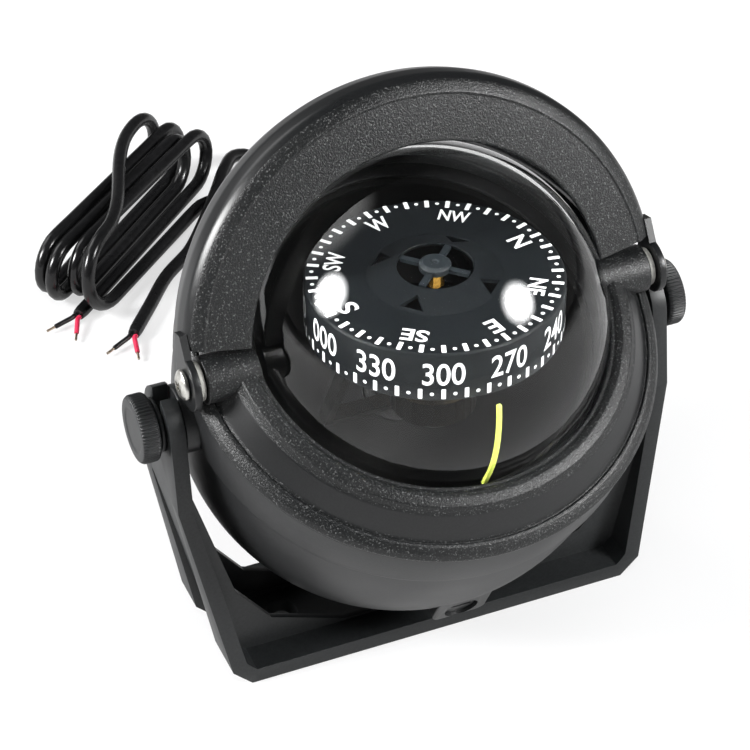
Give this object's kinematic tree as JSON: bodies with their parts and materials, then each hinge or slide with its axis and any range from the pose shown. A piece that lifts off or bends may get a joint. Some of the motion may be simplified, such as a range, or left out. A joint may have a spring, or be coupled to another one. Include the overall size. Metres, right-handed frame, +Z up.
{
  "type": "bracket-mount marine compass",
  "caption": "Boat steering compass with a clear dome over a floating card, held by thumb knobs in a U-bracket, with a swing hood and lighting leads.",
  "frame": {"origin": "centre of the flat underside of the bracket's base", "axes": "+X along the tilt axis to the right knob, -Y to the front the card is read from, +Z up"},
  "size_m": [0.151, 0.2766, 0.1552],
  "materials": {
    "bracket_black": "matte",
    "case_black": "satin",
    "textured_black": "fine grain",
    "hood_black": "satin",
    "knob_black": "satin",
    "plug_black": "matte",
    "clear_dome": "clear gloss",
    "bowl_grey": "matte",
    "black_rubber": "semi gloss",
    "core_red": "gloss",
    "copper": "bare wire",
    "lubber_yellow": "matte",
    "card_black": "matte",
    "brass": "turned",
    "steel": "bright",
    "nylon": "matte",
    "jewel_red": "polished",
    "lamp_red": "clear red"
  },
  "bodies": {
    "bracket_body": {"bracket": "bracket_black", "clamp_washer_left": "bracket_black", "clamp_washer_right": "bracket_black", "lead_short": "black_rubber", "lead_long": "black_rubber", "lead_long_hank": "black_rubber", "core_short_red": "core_red", "core_short_black": "black_rubber", "core_long_red": "core_red", "core_long_black": "black_rubber", "tip_short_red": "copper", "tip_short_black": "copper", "tip_long_red": "copper", "tip_long_black": "copper"},
    "case_body": {"case_lower": "case_black", "bezel_ring": "textured_black", "bottom_cover": "case_black", "cover_screw_1": "steel", "cover_screw_2": "steel", "cover_screw_3": "steel", "dome": "clear_dome", "dome_seal": "black_rubber", "inner_bowl": "bowl_grey", "diaphragm": "black_rubber", "lubber_line": "lubber_yellow", "gimbal_yoke": "brass", "trunnion_insert_left": "brass", "trunnion_insert_right": "brass", "front_plug": "plug_black", "side_plug": "plug_black", "lamp_holder": "case_black", "lamp_bulb": "lamp_red", "cable_gland": "black_rubber", "hood_screw_left": "steel", "hood_screw_right": "steel", "hood_washer_left": "nylon", "hood_washer_right": "nylon"},
    "knob_left_body": {"knob_left": "knob_black", "knob_stud_left": "brass"},
    "knob_right_body": {"knob_right": "knob_black", "knob_stud_right": "brass"},
    "hood_body": {"hood": "hood_black"},
    "gimbal_ring_body": {"gimbal_ring": "brass", "gimbal_pin_left": "steel", "gimbal_pin_right": "steel"},
    "gimbal_hub_body": {"gimbal_hub": "brass", "counterweight": "brass", "pivot_pin": "steel"},
    "card_body": {"card": "card_black", "card_spider": "card_black", "jewel_cup": "jewel_red", "card_magnet_left": "steel", "card_magnet_right": "steel"},
    "front_rod_body": {"compensator_rod_front": "brass", "compensator_magnet_front": "steel"},
    "side_rod_body": {"compensator_rod_side": "brass", "compensator_magnet_side": "steel"}
  },
  "joints": [
    {"name": "case_tilt", "type": "hinge", "parent": "bracket_body", "child": "case_body", "pos_m": [0, 0.0019, 0.076], "axis": [1, 0, 0], "range_deg": [-43, 47]},
    {"name": "knob_left_turn", "type": "hinge", "parent": "case_body", "child": "knob_left_body", "pos_m": [0, 0.0019, 0.076], "axis": [1, 0, 0], "continuous": true},
    {"name": "knob_right_turn", "type": "hinge", "parent": "case_body", "child": "knob_right_body", "pos_m": [0, 0.0019, 0.076], "axis": [1, 0, 0], "continuous": true},
    {"name": "hood_swing", "type": "hinge", "parent": "case_body", "child": "hood_body", "pos_m": [0, -0.00791, 0.09423], "axis": [1, 0, 0], "range_deg": [-6, 58]},
    {"name": "gimbal_pitch", "type": "hinge", "parent": "case_body", "child": "gimbal_ring_body", "pos_m": [0, -0.01251, 0.09423], "axis": [1, 0, 0], "range_deg": [-44, 48]},
    {"name": "gimbal_roll", "type": "hinge", "parent": "gimbal_ring_body", "child": "gimbal_hub_body", "pos_m": [0, -0.01251, 0.09423], "axis": [0, 1, 0], "range_deg": [-20, 20]},
    {"name": "card_turn", "type": "hinge", "parent": "gimbal_hub_body", "child": "card_body", "pos_m": [0, -0.01251, 0.11223], "axis": [0, 0, 1], "continuous": true},
    {"name": "front_rod_turn", "type": "hinge", "parent": "case_body", "child": "front_rod_body", "pos_m": [0, 0.01849, 0.04518], "axis": [0, 0.8805, 0.4741], "continuous": true},
    {"name": "side_rod_turn", "type": "hinge", "parent": "case_body", "child": "side_rod_body", "pos_m": [0, 0.0273, 0.04992], "axis": [1, 0, 0], "continuous": true}
  ]
}
